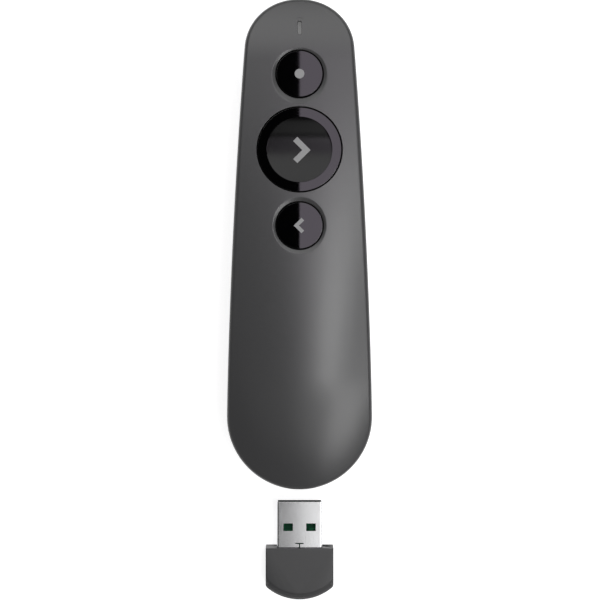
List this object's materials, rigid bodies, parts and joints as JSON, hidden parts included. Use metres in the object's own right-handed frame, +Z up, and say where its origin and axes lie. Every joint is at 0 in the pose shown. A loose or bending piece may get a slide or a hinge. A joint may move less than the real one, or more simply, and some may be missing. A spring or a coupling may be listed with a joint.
{
  "type": "wireless presentation clicker",
  "caption": "Hand-held wireless presentation remote with laser pointer, round gloss buttons, battery door and a plug-in receiver that docks in its tail.",
  "frame": {"origin": "on the surface that the clicker lies on, under the middle of the handset and receiver together", "axes": "+Y towards the laser end, +Z up out of the button side, X across the handset"},
  "size_m": [0.0372, 0.1554, 0.022],
  "materials": {
    "shell": "satin",
    "gloss_black": "gloss",
    "mark_grey": "satin",
    "black_plastic": "satin",
    "light_pipe": "satin",
    "led": "satin",
    "board": "satin",
    "chip": "matte",
    "ceramic": "satin",
    "spring_steel": "satin",
    "zinc_steel": "satin",
    "plug_steel": "satin",
    "cell": "satin",
    "brass": "satin",
    "clear": "gloss",
    "lens": "gloss",
    "gold": "satin"
  },
  "bodies": {
    "handset": {"top_shell": "shell", "bottom_shell": "shell", "light_pipe": "light_pipe", "status_led": "led", "main_board": "board", "radio_chip": "chip", "crystal": "zinc_steel", "chip_capacitors": "ceramic", "chassis": "black_plastic", "battery_left": "cell", "battery_right": "cell", "positive_contact": "spring_steel", "negative_contact": "spring_steel", "bridge_contact": "spring_steel", "laser_module": "brass", "laser_lens": "lens", "laser_window": "clear", "case_screws": "zinc_steel", "board_screws": "zinc_steel", "dock_liner": "black_plastic", "dock_socket": "black_plastic", "laser_switch": "black_plastic", "next_switch": "black_plastic", "back_switch": "black_plastic"},
    "laser_key": {"laser_button": "gloss_black", "laser_dot": "mark_grey", "laser_plunger": "black_plastic"},
    "next_key": {"next_button": "gloss_black", "next_chevron": "mark_grey", "next_plunger": "black_plastic"},
    "back_key": {"back_button": "gloss_black", "back_chevron": "mark_grey", "back_plunger": "black_plastic"},
    "door": {"battery_door": "shell", "door_latch": "shell"},
    "receiver": {"receiver_housing": "shell", "receiver_shell": "plug_steel", "receiver_board": "board", "receiver_contacts": "gold"}
  },
  "joints": [
    {"name": "laser_press", "type": "slide", "parent": "handset", "child": "laser_key", "axis": [0, 0, -1], "range_m": [0, 0.0005], "stiffness_N_per_m": 1500, "springref_m": -0.0004},
    {"name": "next_press", "type": "slide", "parent": "handset", "child": "next_key", "axis": [0, 0, -1], "range_m": [0, 0.0005], "stiffness_N_per_m": 1500, "springref_m": -0.0004},
    {"name": "back_press", "type": "slide", "parent": "handset", "child": "back_key", "axis": [0, 0, -1], "range_m": [0, 0.0005], "stiffness_N_per_m": 1500, "springref_m": -0.0004},
    {"name": "door_swing", "type": "hinge", "parent": "handset", "child": "door", "pos_m": [0, 0.044, 0], "axis": [1, 0, 0], "range_deg": [0, 70], "deforming": ["door_latch"]},
    {"name": "receiver_slide", "type": "slide", "parent": "handset", "child": "receiver", "axis": [0, 1, 0], "range_m": [0, 0.033]}
  ]
}
